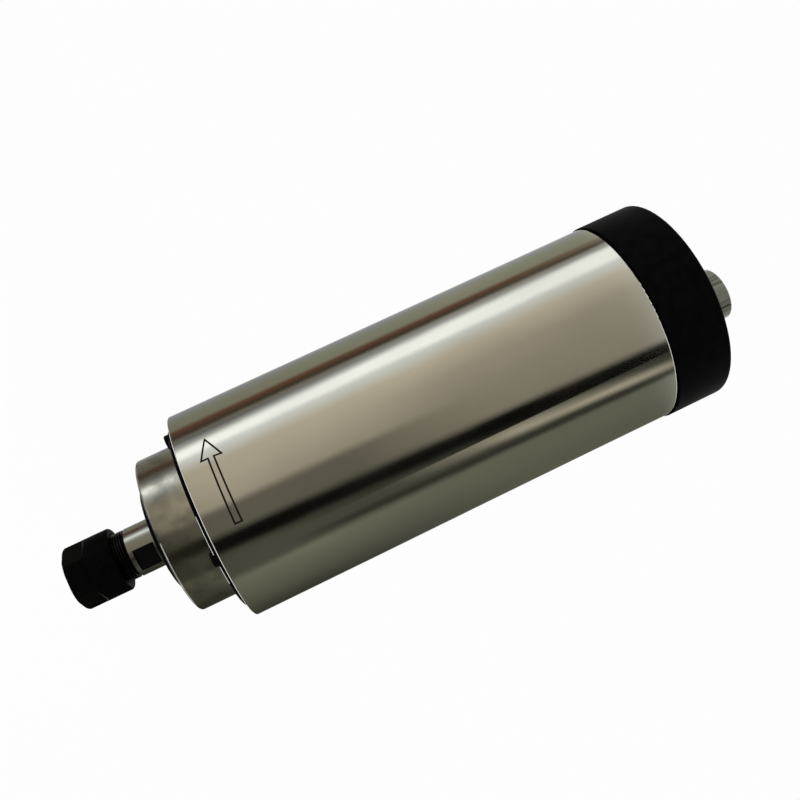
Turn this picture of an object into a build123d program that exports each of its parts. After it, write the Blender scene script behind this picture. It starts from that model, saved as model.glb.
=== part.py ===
"""Air-cooled router spindle: an 80 mm motor with a collet nose, as an assembly of separate pieces.

All sizes are in millimetres. +Z runs along the spindle axis towards the back, so the tool points down.
The origin is on the axis, where the full diameter of the outer sleeve starts at its front.
+X points at one of the four front screws, and at the power socket on the back.
"""

import math
import os

from build123d import *

os.makedirs("parts", exist_ok=True)

# Clearances
press_gap = 0.01        # radial gap of parts that are pressed or shrunk together
slip_gap = 0.03         # radial gap of parts that slide together and are then held
thread_gap = 0.05       # radial gap left for a thread between screw and hole
running_gap = 0.06      # between a ball and its raceways
collet_gap = 0.03       # between the collet's cones and their seats
lip_play = 0.3          # room for the nut's lip in the collet's groove
hole_run_on = 1.0       # depth of a tapped hole past its screw

# Edge breaks
fine_edge = 0.4         # small turned pieces
plain_edge = 0.5        # bearing rings, thread starts, plates

# Socket head screws, as shares of the thread size
head_share = 0.92       # head radius; the head is as tall as the thread is wide
key_share = 0.42        # half the width across the hexagon in the head
key_depth_share = 0.55
head_edge_share = 0.08

# Outer sleeve and rear cap
body_length = 195.0     # front rim of the sleeve to the back of the cap
sleeve_diameter = 80.0
sleeve_wall = 2.0
sleeve_front_edge = 0.4 # rounding of the sleeve's rims
sleeve_back_edge = 0.8
cap_length = 22.4
cap_proud = 0.5         # beyond the sleeve's radius
cap_back_wall = 4.0
cap_edge = 1.2
cap_start_chamfer = 0.6
cap_spigot_length = 7.0
cap_spigot_wall = 2.0
vent_step = 15.0        # degrees between vent slots, which are left out over the screws
vent_slot_width = 3.0
vent_slot_length = 8.0
vent_margin = 5.9       # from the cap's rim to the slots
cap_screw_sink = 0.2    # cap screws' heads below the back, and room around them
hub_recess_margin = 1.6 # from the slots to the shallow round recess
hub_recess_depth = 0.8

# Front ring and nose
nose_length = 15.5      # ahead of the front ring
nose_wall = 8.95        # around the front bearings
nose_edge = 0.8
nose_lip = 5.2          # wall in front of the bearings
ring_step = 4.3         # from the sleeve's surface down to the ring's
ring_width = 5.75       # from the ring's surface down to the nose's
ring_proud = 1.9        # ahead of the sleeve's rim
ring_thickness = 5.0
ring_chamfer = 0.35
flange_step = 0.5       # from the ring's surface down to the nose's flange
ring_seat_step = 0.5    # the nose is wider under the ring than ahead of it
nose_flange_thickness = 6.0
ring_screw_size = 3.0
ring_screw_head_depth = 1.6
ring_screw_pocket = 6.6
ring_screw_length = 16.0
ring_screw_margin = 0.15 # between the heads and the nose

# Air-cooled jacket
channel_depth = 3.2     # height of the air channels between jacket and sleeve
jacket_wall = 2.8
jacket_front_step = 1.4 # thicker wall around the nose's spigot
jacket_front_bore_length = 16.0
rib_count = 24
rib_width = 1.8
boss_rib_width = 8.4
boss_ribs = 8

# Front bearings, 20 x 42 x 12
front_bearing_bore = 20.0
front_bearing_width = 12.0
spigot_wall = 3.57      # of the nose, around the retainer plate
retainer_thickness = 4.0
retainer_screw_size = 2.5
retainer_screw_length = 9.0
retainer_screw_turn = 45.0

# Rear bearings, 15 x 32 x 9
rear_bearing_bore = 15.0
rear_bearing_od = 32.0
rear_bearing_width = 9.0

# Ball bearings: shares of the section between bore and outside, of the ball, or of the width
front_ball_share = 0.577
rear_ball_share = 0.56
ball_spacing = 1.38     # ball diameters from one ball to the next, at least
inner_shoulder_share = 0.2273  # height of the shaft's shoulder behind the front inner rings
retainer_lap_share = 0.5455    # how far the retainer plate covers the outer rings
shoulder_share = 0.30   # pitch circle to the shoulder of a ring
low_shoulder_share = 0.46
cage_share = 0.14       # half the cage's thickness
cage_width_share = 0.78

# Rear bearing housing
spring_height = 1.6
spring_thickness = 0.7
spring_play = 0.3       # radial room of the spring's rims
bell_lip = 2.0
bell_lip_bore = 24.0
bell_hub_diameter = 40.0
bell_hub_edge = 1.5
bell_plate = 6.0
bell_step = 0.2         # from the jacket's hub down to the housing's rim
bell_spigot_length = 5.0
bell_spigot_wall = 2.2
bell_webs = 6
bell_web_width = 3.0
bell_web_turn = 52.5    # keeps the webs clear of the leads' slot
bell_ear_diameter = 5.8
bell_screw_size = 3.0
bell_screw_grip = 13.0  # length held in the jacket
fan_bay = 19.6          # from the rear bearing housing to the end of the sleeve

# Shaft
shaft_diameter = 18.7
flat_width = 16.5       # across the wrench flats
flat_length = 8.0
flat_stand_off = 2.45   # from the dust disc to the flats
collar_length = 1.3     # round collar between the flats and the thread
thread_diameter = 18.6
thread_relief = 1.0
thread_relief_diameter = 17.4
relief_slope = 0.3
shaft_rear_diameter = 18.4
shaft_fan_diameter = 10.0
shaft_end_short = 0.4   # the fan's hub stands past the shaft, so the washer presses it
core_shoulder = 1.0     # plain length behind the rotor's rear end ring
shank_bore = 10.6
shank_room = 14.0       # free depth behind the collet

# Dust disc
disc_diameter = 40.4
disc_proud = 2.85       # ahead of the nose
disc_gap = 0.5
disc_hub_wall = 2.35
lip_gap = 0.5           # between the disc's hub and the nose's lip

# Collet and its nut
nut_stand_off = 16.75   # from the dust disc to the back of the nut
nut_diameter = 24.3
nut_length = 18.2
nut_edge = 1.5
nut_back_edge = 1.0
nut_flat_width = 21.0
nut_flat_length = 7.6
nut_flat_runout = 1.6
nut_flat_turn = 37.0    # direction of one flat, degrees from +X
nut_thread_length = 8.6
nut_mouth_diameter = 12.6
nut_lip_bore = 14.6
nut_cavity = 0.4        # room around the collet behind the lip
collet_length = 27.5
collet_recess = 0.6     # behind the front of the nut
collet_face_diameter = 11.8
collet_ring_diameter = 15.8
collet_ring_length = 0.8
collet_groove_diameter = 13.2
collet_groove_length = 2.1
collet_big_diameter = 17.0
collet_big_length = 0.5
collet_bore = 6.0
collet_slits = 6
collet_slit_width = 0.6
collet_slit_wall = 4.0  # solid wall left at the closed end of each slit
collet_slit_turn = 10.0 # direction of the first slit, degrees from +X
collet_cone = 8.0       # half angle of the long cone
nose_cone = 30.0        # half angle of the short front cone
taper_mouth = 16.0      # diameter of the shaft's cone at its face

# Rotor and stator
rotor_share = 0.594     # rotor's diameter in the jacket's bore
air_gap = 0.4
core_length = 63.0
end_ring_length = 6.0
end_ring_gap = 1.0      # between shaft and end ring
end_ring_step = 0.3     # below the core's surface at the core
end_ring_fall = 1.2     # below the core's surface at the free end
peg_count = 6
peg_diameter = 2.0
peg_height = 2.0
stator_slots = 18
tooth_tip = 1.2
slot_opening = 1.4
slot_share = 0.524      # depth of a slot in the stack's thickness
slot_inner_width = 3.5
slot_outer_width = 5.4
slot_lining = 0.25
winding_overhang = 14.0
winding_gap = 1.6       # from the jacket's bore to the end turns
winding_outer_edge = 3.5
winding_inner_edge = 2.5
winding_start = 0.5     # from the core to the ring of end turns

# Cooling fan
fan_tip_gap = 2.6       # from the fan to the leads that pass it
fan_plate = 1.6
fan_height = 9.0
fan_blades = 9
fan_blade_thickness = 1.2
fan_blade_root = 11.5   # radius where the blades start
fan_blade_sweep = 26.0  # degrees from root to tip
fan_blade_bulge = 2.4
fan_blade_low = 0.6     # below the hub's end
fan_hub_diameter = 18.0
fan_clearance = 8.0     # between the rear bearing housing and the fan's plate
lock_nut_diameter = 22.0
lock_nut_length = 5.0
lock_nut_notch = 3.0
lock_nut_gap = 0.3      # ahead of the nut, and between nut and fan hub
fan_screw_size = 4.0
fan_screw_length = 12.0
fan_washer_diameter = 11.2
fan_washer = 1.0

# Rear cap screws
cap_screw_size = 3.0
cap_screw_turn = 45.0   # degrees from the front screws
cap_screw_grip = 10.0   # length held in the jacket
cap_boss_diameter = 6.0

# Power socket
socket_margin = 0.9     # from the socket's flange to the vent slots
socket_diameter = 20.0
socket_wall = 1.4
socket_seat_step = 0.6  # narrower inside, where the insulating block sits
socket_length = 13.2    # behind the cap
socket_flange_diameter = 24.4
socket_flange = 2.4
socket_gasket = 0.8
socket_inside = 8.0     # reach ahead of the cap's back wall
socket_nut_across = 24.0
socket_nut = 3.4
socket_mouth = 9.0      # depth of the open mouth
socket_key_width = 1.2
socket_key_depth = 0.5
socket_key_turn = 10.5  # place of the key groove, degrees from +X
socket_key_start = 5.2  # behind the flange
pin_count = 4
pin_circle = 9.2
pin_diameter = 2.0
pin_length = 7.0
cup_diameter = 2.9
cup_length = 6.0

# Leads
lead_diameter = 2.2
lead_bend = 2.6
lead_straight = 0.8     # straight lead below each solder cup
lead_angles = (16.0, 22.5, 29.0)
earth_angle = -22.5
lead_wall_gap = 1.67    # between a lead and the cap's bore
lead_slot_room = 1.4    # width of the slot past the lead's own
lead_turn = 1.5         # behind the bearing housing
terminal_radius = 3.0
terminal_thickness = 0.8
barrel_length = 3.0
barrel_wall = 0.5
barrel_gap = 0.1        # barrel's lead above the terminal's plate
terminal_reach = 8.2    # from the earth screw out to the lead's upright run
earth_screw_size = 3.0
earth_screw_length = 5.0

# Diameters and radii, worked out from the sizes above
cap_diameter = sleeve_diameter + 2 * cap_proud
inside_radius = sleeve_diameter / 2 - sleeve_wall
cap_bore_radius = inside_radius - slip_gap - cap_spigot_wall
vent_outer_radius = cap_diameter / 2 - vent_margin
vent_inner_radius = vent_outer_radius - vent_slot_length
hub_recess_radius = vent_inner_radius - hub_recess_margin
ring_diameter = sleeve_diameter - 2 * ring_step
nose_diameter = ring_diameter - 2 * ring_width
nose_flange_diameter = ring_diameter - 2 * flange_step
ring_seat_radius = nose_diameter / 2 + ring_seat_step
ring_screw_circle = 2 * (ring_seat_radius + head_share * ring_screw_size + ring_screw_margin)
jacket_hub_diameter = 2 * (inside_radius - channel_depth)
jacket_bore = jacket_hub_diameter - 2 * jacket_wall
jacket_front_bore = jacket_bore - 2 * jacket_front_step
front_bearing_od = nose_diameter - 2 * nose_wall
front_section = (front_bearing_od - front_bearing_bore) / 2
rear_section = (rear_bearing_od - rear_bearing_bore) / 2
front_ball = front_ball_share * front_section
rear_ball = rear_ball_share * rear_section
retainer_diameter = jacket_front_bore - 2 * (slip_gap + spigot_wall)
retainer_bore = front_bearing_od - 2 * retainer_lap_share * front_section
retainer_screw_circle = (front_bearing_od + retainer_diameter) / 2
bell_diameter = jacket_hub_diameter - 2 * bell_step
bell_screw_circle = jacket_hub_diameter
cap_screw_circle = jacket_hub_diameter
shaft_core_diameter = front_bearing_bore + 2 * inner_shoulder_share * front_section
disc_hub_diameter = shaft_diameter + 2 * disc_hub_wall
nose_lip_bore = disc_hub_diameter + 2 * lip_gap
rotor_diameter = rotor_share * jacket_bore
end_ring_bore = shaft_core_diameter + 2 * end_ring_gap
stator_bore_radius = rotor_diameter / 2 + air_gap
slot_inner_radius = stator_bore_radius + tooth_tip
slot_depth = slot_share * (jacket_bore / 2 - stator_bore_radius)
winding_outer_radius = jacket_bore / 2 - winding_gap
lead_outer_radius = cap_bore_radius - lead_wall_gap - lead_diameter / 2
bell_spigot_bore_radius = jacket_bore / 2 - slip_gap - bell_spigot_wall
lead_inner_radius = bell_spigot_bore_radius - (lead_diameter + lead_slot_room) / 2
fan_diameter = 2 * (lead_outer_radius - lead_diameter / 2 - fan_tip_gap)
terminal_circle = lead_outer_radius - terminal_reach
socket_offset = vent_inner_radius - socket_flange_diameter / 2 - socket_margin
socket_seat_radius = socket_diameter / 2 - socket_wall - socket_seat_step

# Places along the axis, worked out from the sizes above
sleeve_front_z = -sleeve_front_edge
cap_back_z = sleeve_front_z + body_length
sleeve_back_z = cap_back_z - cap_length
ring_front_z = sleeve_front_z - ring_proud
ring_back_z = ring_front_z + ring_thickness
flange_back_z = ring_back_z + nose_flange_thickness
nose_front_z = ring_front_z - nose_length
front_seat_z = nose_front_z + nose_lip
front_bearings_back_z = front_seat_z + 2 * front_bearing_width
retainer_back_z = front_bearings_back_z + retainer_thickness
bell_back_z = sleeve_back_z - fan_bay
bell_front_z = bell_back_z - bell_plate
rear_seat_z = bell_back_z - 2 * rear_bearing_width
bell_lip_z = rear_seat_z - spring_height - bell_lip
core_middle_z = (retainer_back_z + bell_lip_z) / 2
core_front_z = core_middle_z - core_length / 2
core_back_z = core_middle_z + core_length / 2
winding_back_z = core_back_z + winding_overhang
disc_front_z = nose_front_z - disc_proud
disc_back_z = nose_front_z - disc_gap
nut_back_z = disc_front_z - nut_stand_off
nut_front_z = nut_back_z - nut_length
collet_front_z = nut_front_z + collet_recess
collet_back_z = collet_front_z + collet_length
cap_inner_z = cap_back_z - cap_back_wall
socket_back_z = cap_back_z + socket_length
socket_front_z = cap_inner_z - socket_inside
insert_face_z = socket_back_z - socket_mouth
lock_nut_z = bell_back_z + lock_nut_gap
fan_plate_z = bell_back_z + fan_clearance
fan_back_z = fan_plate_z + fan_height
shaft_back_z = fan_back_z - shaft_end_short
cap_screw_seat_z = cap_back_z - cap_screw_size - cap_screw_sink
crossing_z = socket_front_z - cup_length - lead_bend - lead_straight

collet_slope = math.tan(math.radians(collet_cone))
nose_slope = math.tan(math.radians(nose_cone))
collet_ring_z = collet_front_z + (collet_ring_diameter - collet_face_diameter) / 2 / nose_slope
collet_groove_z = collet_ring_z + collet_ring_length
collet_big_z = collet_groove_z + collet_groove_length
collet_cone_z = collet_big_z + collet_big_length
shaft_front_z = collet_cone_z + (collet_big_diameter - taper_mouth) / 2 / collet_slope
flat_back_z = disc_front_z - flat_stand_off
flat_front_z = flat_back_z - flat_length
collar_front_z = flat_front_z - collar_length


def turned(*points):
    """A turned piece: the corners of its half section as (radius, z), spun about the spindle axis."""
    outline = Polyline(*[(radius, 0, z) for radius, z in points], close=True)
    return revolve(make_face(outline), Axis.Z)


def ring(outer, inner, z_from, z_to):
    """A plain ring between two radii and two heights."""
    return turned((inner, z_from), (outer, z_from), (outer, z_to), (inner, z_to))


def rod(radius, z_from, z_to):
    """A round bar on the axis."""
    stands = (Align.CENTER, Align.CENTER, Align.MIN)
    return Pos(0, 0, z_from) * Cylinder(radius, z_to - z_from, align=stands)


def rims(piece, radius, z):
    """The round edges of a piece at one radius and one height."""
    circles = piece.edges().filter_by(GeomType.CIRCLE)
    level = [edge for edge in circles if abs(edge.center().Z - z) < 0.001]
    return [edge for edge in level if abs(edge.radius - radius) < 0.001]


def around(circle, count, first=0.0):
    """Places on a bolt circle of this diameter, the first at an angle from +X."""
    return [Rot(0, 0, first + 360 / count * k) * Pos(circle / 2, 0, 0) for k in range(count)]


def group(pieces):
    """Separate solids kept together as one node."""
    return Compound([solid for piece in pieces for solid in piece.solids()])


def at_socket(piece):
    """A piece made on the spindle axis, moved to the socket's own axis."""
    return Pos(socket_offset, 0, 0) * piece


def head_radius(size):
    """The head of a socket head screw with this thread."""
    return head_share * size


def cap_screw(size, length):
    """A socket head screw on the axis: the seat under its head at z = 0, its shank up along +Z."""
    key = Pos(0, 0, -size) * RegularPolygon(key_share * size, 6, major_radius=False)
    head = rod(head_radius(size), -size, 0) - extrude(key, key_depth_share * size)
    head = chamfer(rims(head, head_radius(size), -size), head_edge_share * size)
    return head + rod(size / 2, 0, length)


def outer_sleeve():
    """The steel tube all around the motor, rounded at both rims."""
    sleeve = ring(sleeve_diameter / 2, sleeve_diameter / 2 - sleeve_wall, sleeve_front_z, sleeve_back_z)
    radius = sleeve_diameter / 2
    sleeve = fillet(rims(sleeve, radius, sleeve_front_z), sleeve_front_edge)
    sleeve = fillet(rims(sleeve, radius, sleeve_back_z), sleeve_back_edge)
    inside = rims(sleeve, inside_radius, sleeve_front_z) + rims(sleeve, inside_radius, sleeve_back_z)
    return chamfer(inside, sleeve_wall / 8)


def front_clamp_ring():
    """The black ring that clamps the nose to the jacket, with open pockets for four screw heads."""
    clamp = ring(ring_diameter / 2, ring_seat_radius + slip_gap, ring_front_z, ring_back_z)
    clamp = chamfer(rims(clamp, ring_diameter / 2, ring_front_z), ring_chamfer)
    for place in around(ring_screw_circle, 4):
        clamp -= place * rod(ring_screw_pocket / 2, ring_front_z, ring_front_z + ring_screw_head_depth)
        clamp -= place * rod(ring_screw_size / 2 + thread_gap, ring_front_z, ring_back_z)
    return clamp


def front_ring_screws():
    """Four screws through ring and nose into the jacket's wide ribs."""
    screw = Pos(0, 0, ring_front_z + ring_screw_head_depth) * cap_screw(ring_screw_size, ring_screw_length)
    return group(place * screw for place in around(ring_screw_circle, 4))


def nose_housing():
    """The turned nose: bearing seat inside, flange and spigot that sit on the jacket."""
    spigot_radius = jacket_front_bore / 2 - slip_gap
    pocket_radius = retainer_diameter / 2 + slip_gap
    nose = turned(
        (nose_lip_bore / 2, nose_front_z),
        (nose_diameter / 2, nose_front_z),
        (nose_diameter / 2, ring_front_z),
        (ring_seat_radius, ring_front_z),
        (ring_seat_radius, ring_back_z),
        (nose_flange_diameter / 2, ring_back_z),
        (nose_flange_diameter / 2, flange_back_z),
        (spigot_radius, flange_back_z),
        (spigot_radius, retainer_back_z),
        (pocket_radius, retainer_back_z),
        (pocket_radius, front_bearings_back_z),
        (front_bearing_od / 2, front_bearings_back_z),
        (front_bearing_od / 2, front_seat_z),
        (nose_lip_bore / 2, front_seat_z))
    nose = fillet(rims(nose, nose_diameter / 2, nose_front_z), nose_edge)
    nose = chamfer(rims(nose, nose_lip_bore / 2, nose_front_z), fine_edge)
    for place in around(ring_screw_circle, 4):
        nose -= place * rod(ring_screw_size / 2 + thread_gap, ring_back_z, flange_back_z)
    hole_end_z = retainer_back_z - retainer_screw_length
    for place in around(retainer_screw_circle, 4, retainer_screw_turn):
        nose -= place * rod(retainer_screw_size / 2 + thread_gap, hole_end_z, front_bearings_back_z)
    return nose


def bearing_retainer():
    """The plate that holds the front bearings' outer rings in the nose."""
    plate = ring(retainer_diameter / 2, retainer_bore / 2, front_bearings_back_z, retainer_back_z)
    plate = chamfer(rims(plate, retainer_diameter / 2, retainer_back_z), plain_edge)
    for place in around(retainer_screw_circle, 4, retainer_screw_turn):
        plate -= place * rod(retainer_screw_size / 2 + thread_gap, front_bearings_back_z, retainer_back_z)
    return plate


def retainer_screws():
    """Four screws from the plate into the nose."""
    screw = cap_screw(retainer_screw_size, retainer_screw_length)
    screw = Pos(0, 0, retainer_back_z) * Rot(180, 0, 0) * screw
    return group(place * screw for place in around(retainer_screw_circle, 4, retainer_screw_turn))


def stator_housing():
    """The ribbed jacket: air runs between ribs and sleeve, and screws go into the wide ribs."""
    tip_radius = inside_radius - slip_gap
    hub = Circle(jacket_hub_diameter / 2)
    ribs = Sketch()
    for k in range(rib_count):
        wide = k % (rib_count // boss_ribs) == 0
        width = boss_rib_width if wide else rib_width
        ribs += Rot(0, 0, 360 / rib_count * k) * Pos(tip_radius, 0) * Rectangle(tip_radius, width)
    section = (hub + ribs) & Circle(tip_radius)
    jacket = extrude(Pos(0, 0, flange_back_z) * section, bell_front_z - flange_back_z)
    jacket -= rod(jacket_front_bore / 2, flange_back_z, flange_back_z + jacket_front_bore_length)
    jacket -= rod(jacket_bore / 2, flange_back_z + jacket_front_bore_length, bell_front_z)
    reach = ring_front_z + ring_screw_head_depth + ring_screw_length
    for place in around(ring_screw_circle, 4):
        jacket -= place * rod(ring_screw_size / 2 + thread_gap, flange_back_z, reach + hole_run_on)
    for place in around(bell_screw_circle, 4):
        end_z = bell_front_z - bell_screw_grip - hole_run_on
        jacket -= place * rod(bell_screw_size / 2 + thread_gap, end_z, bell_front_z)
    for place in around(cap_screw_circle, 4, cap_screw_turn):
        end_z = bell_front_z - cap_screw_grip - hole_run_on
        jacket -= place * rod(cap_screw_size / 2 + thread_gap, end_z, bell_front_z)
    return jacket


def rear_bearing_housing():
    """The plate at the back of the jacket, with the rear bearings' hub and a slot for the leads."""
    bell = rod(bell_diameter / 2, bell_front_z, bell_back_z)
    spigot_z = bell_front_z - bell_spigot_length
    bell += ring(jacket_bore / 2 - slip_gap, bell_spigot_bore_radius, spigot_z, bell_front_z)
    for place in around(bell_screw_circle, 4) + around(cap_screw_circle, 4, cap_screw_turn):
        bell += place * rod(bell_ear_diameter / 2, bell_front_z, bell_back_z)
    hub = rod(bell_hub_diameter / 2, bell_lip_z, bell_front_z)
    bell += chamfer(rims(hub, bell_hub_diameter / 2, bell_lip_z), bell_hub_edge)
    web_start = bell_hub_diameter / 2 - bell_hub_edge / 3
    web_length = bell_spigot_bore_radius + bell_spigot_wall / 2 - web_start
    web = Pos(web_start, 0, bell_front_z) * Box(
        web_length, bell_web_width, bell_spigot_length, align=(Align.MIN, Align.CENTER, Align.MAX))
    for k in range(bell_webs):
        bell += Rot(0, 0, bell_web_turn + 360 / bell_webs * k) * web
    bell -= rod(rear_bearing_od / 2, rear_seat_z - spring_height, bell_back_z)
    bell -= rod(bell_lip_bore / 2, bell_lip_z, bell_back_z)
    for place in around(bell_screw_circle, 4):
        bell -= place * rod(bell_screw_size / 2 + thread_gap, bell_front_z, bell_back_z)
    for place in around(cap_screw_circle, 4, cap_screw_turn):
        bell -= place * rod(cap_screw_size / 2 + thread_gap, bell_front_z, bell_back_z)
    lead_arc = CenterArc((0, 0), lead_inner_radius, lead_angles[0], lead_angles[-1] - lead_angles[0])
    lead_slot = Pos(0, 0, bell_lip_z) * SlotArc(lead_arc, lead_diameter + lead_slot_room)
    bell -= extrude(lead_slot, bell_back_z - bell_lip_z)
    earth_hole = Rot(0, 0, earth_angle) * Pos(terminal_circle, 0, 0)
    end_z = bell_back_z - earth_screw_length
    bell -= earth_hole * rod(earth_screw_size / 2 + thread_gap, end_z, bell_back_z)
    return bell


def rear_housing_screws():
    """Four screws that hold the rear bearing housing on the jacket."""
    screw = cap_screw(bell_screw_size, bell_plate + bell_screw_grip)
    screw = Pos(0, 0, bell_back_z) * Rot(180, 0, 0) * screw
    return group(place * screw for place in around(bell_screw_circle, 4))


def rear_cap():
    """The vented black cap: spigot in the sleeve, four long screw posts, slots and the socket's hole."""
    spigot_radius = inside_radius - slip_gap
    cap = turned(
        (0, cap_inner_z),
        (cap_bore_radius, cap_inner_z),
        (cap_bore_radius, sleeve_back_z - cap_spigot_length),
        (spigot_radius, sleeve_back_z - cap_spigot_length),
        (spigot_radius, sleeve_back_z),
        (cap_diameter / 2, sleeve_back_z),
        (cap_diameter / 2, cap_back_z),
        (0, cap_back_z))
    cap = fillet(rims(cap, cap_diameter / 2, cap_back_z), cap_edge)
    cap = chamfer(rims(cap, cap_diameter / 2, sleeve_back_z), cap_start_chamfer)
    recess_z = cap_back_z - hub_recess_depth
    socket_pad = at_socket(rod(socket_flange_diameter / 2 + 1, recess_z, cap_back_z))
    cap -= rod(hub_recess_radius, recess_z, cap_back_z) - socket_pad
    screw_places = around(cap_screw_circle, 4, cap_screw_turn)
    for place in screw_places:
        cap += place * rod(cap_boss_diameter / 2, bell_back_z, cap_inner_z)
    slot_middle = (vent_inner_radius + vent_outer_radius) / 2
    slot = Pos(slot_middle, 0, cap_inner_z) * SlotOverall(vent_slot_length, vent_slot_width)
    slot = extrude(slot, cap_back_wall)
    for k in range(round(360 / vent_step)):
        angle = vent_step * k
        if (angle - cap_screw_turn) % 90 != 0:
            cap -= Rot(0, 0, angle) * slot
    for place in screw_places:
        cap -= place * rod(cap_screw_size / 2 + thread_gap, bell_back_z, cap_back_z)
        cap -= place * rod(head_radius(cap_screw_size) + cap_screw_sink, cap_screw_seat_z, cap_back_z)
    return cap - at_socket(rod(socket_diameter / 2 + thread_gap, cap_inner_z, cap_back_z))


def rear_cap_screws():
    """Four long screws through the cap's posts and the bearing housing into the jacket."""
    length = cap_screw_seat_z - bell_front_z + cap_screw_grip
    screw = Pos(0, 0, cap_screw_seat_z) * Rot(180, 0, 0) * cap_screw(cap_screw_size, length)
    return group(place * screw for place in around(cap_screw_circle, 4, cap_screw_turn))


def bearing(bore, od, width, ball, open_side):
    """One bearing from z = 0 up, as its four kinds of piece. The outer ring is open on one side."""
    pitch_radius = (bore + od) / 4
    count = math.floor(2 * math.pi * pitch_radius / (ball_spacing * ball))
    groove = Pos(0, 0, width / 2) * Torus(pitch_radius, ball / 2 + running_gap)
    inner = ring(pitch_radius - shoulder_share * ball, bore / 2 + press_gap, 0, width)
    seat = bore / 2 + press_gap
    inner = chamfer(rims(inner, seat, 0) + rims(inner, seat, width), plain_edge)
    outer = ring(od / 2 - press_gap, pitch_radius + shoulder_share * ball, 0, width)
    seat = od / 2 - press_gap
    outer = chamfer(rims(outer, seat, 0) + rims(outer, seat, width), plain_edge)
    low_from, low_to = (0, width / 2) if open_side < 0 else (width / 2, width)
    outer -= rod(pitch_radius + low_shoulder_share * ball, low_from, low_to)
    cage_end = (1 - cage_width_share) / 2 * width
    cage_half = cage_share * ball
    cage = ring(pitch_radius + cage_half, pitch_radius - cage_half, cage_end, width - cage_end)
    places = [place * Pos(0, 0, width / 2) for place in around(2 * pitch_radius, count)]
    for place in places:
        cage -= place * Rot(0, 90, 0) * Cylinder(ball / 2 + 2 * running_gap, ball)
    balls = group(place * Sphere(ball / 2) for place in places)
    return {"outer_ring": outer - groove, "inner_ring": inner - groove, "cage": cage, "balls": balls}


def bearing_nodes():
    """Two front and two rear bearings, each pair set back to back."""
    front = (front_bearing_bore, front_bearing_od, front_bearing_width, front_ball)
    rear = (rear_bearing_bore, rear_bearing_od, rear_bearing_width, rear_ball)
    places = {
        "front_bearing_1": (front, front_seat_z, -1),
        "front_bearing_2": (front, front_seat_z + front_bearing_width, 1),
        "rear_bearing_1": (rear, rear_seat_z, -1),
        "rear_bearing_2": (rear, rear_seat_z + rear_bearing_width, 1)}
    nodes = {}
    for name, (sizes, z, open_side) in places.items():
        for kind, piece in bearing(*sizes, open_side).items():
            nodes[name + "_" + kind] = Pos(0, 0, z) * piece
    return nodes


def preload_disc_spring():
    """The cone-shaped washer between the hub's lip and the rear bearings' outer rings."""
    lip_z = rear_seat_z - spring_height
    inner = bell_lip_bore / 2 + spring_play
    outer = rear_bearing_od / 2 - spring_play
    return turned((inner, lip_z), (outer, rear_seat_z - spring_thickness), (outer, rear_seat_z),
                  (inner, lip_z + spring_thickness))


def rotor_shaft():
    """The shaft in one piece: cone and thread at the front, wrench flats, bearing seats, fan seat."""
    thread_back_z = collar_front_z - thread_relief
    core_end_z = core_back_z + end_ring_length + core_shoulder
    seat_end_z = lock_nut_z + lock_nut_length
    shaft = turned(
        (0, shaft_front_z),
        (thread_diameter / 2 - plain_edge, shaft_front_z),
        (thread_diameter / 2, shaft_front_z + plain_edge),
        (thread_diameter / 2, thread_back_z),
        (thread_relief_diameter / 2, thread_back_z + relief_slope),
        (thread_relief_diameter / 2, collar_front_z),
        (shaft_diameter / 2, collar_front_z),
        (shaft_diameter / 2, front_seat_z),
        (front_bearing_bore / 2, front_seat_z),
        (front_bearing_bore / 2, front_bearings_back_z),
        (shaft_core_diameter / 2, front_bearings_back_z),
        (shaft_core_diameter / 2, core_end_z),
        (shaft_rear_diameter / 2, core_end_z + (shaft_core_diameter - shaft_rear_diameter) / 4),
        (shaft_rear_diameter / 2, rear_seat_z),
        (rear_bearing_bore / 2, rear_seat_z),
        (rear_bearing_bore / 2, seat_end_z),
        (shaft_fan_diameter / 2, seat_end_z),
        (shaft_fan_diameter / 2, shaft_back_z),
        (0, shaft_back_z))
    cone_back_z = shaft_front_z + (taper_mouth - shank_bore) / 2 / collet_slope
    shaft -= turned((0, shaft_front_z), (taper_mouth / 2, shaft_front_z), (shank_bore / 2, cone_back_z),
                    (shank_bore / 2, collet_back_z + shank_room),
                    (0, collet_back_z + shank_room + shank_bore / 4))
    flat = Pos(flat_width / 2, 0, flat_front_z) * Box(
        shaft_diameter, shaft_diameter * 2, flat_length, align=(Align.MIN, Align.CENTER, Align.MIN))
    shaft -= flat
    shaft -= Rot(0, 0, 180) * flat
    hole_end_z = fan_back_z - fan_screw_length - hole_run_on
    return shaft - rod(fan_screw_size / 2 + thread_gap, hole_end_z, shaft_back_z)


def dust_disc():
    """The disc that spins ahead of the nose, with a hub in the nose's lip that holds the inner rings."""
    bore = shaft_diameter / 2 + press_gap
    disc = turned(
        (bore, disc_front_z),
        (disc_diameter / 2, disc_front_z),
        (disc_diameter / 2, disc_back_z),
        (disc_hub_diameter / 2, disc_back_z),
        (disc_hub_diameter / 2, front_seat_z),
        (bore, front_seat_z))
    return chamfer(rims(disc, disc_diameter / 2, disc_front_z), fine_edge)


def rotor_core():
    """The laminated stack shrunk on the shaft."""
    return ring(rotor_diameter / 2, shaft_core_diameter / 2 + press_gap, core_front_z, core_back_z)


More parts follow.
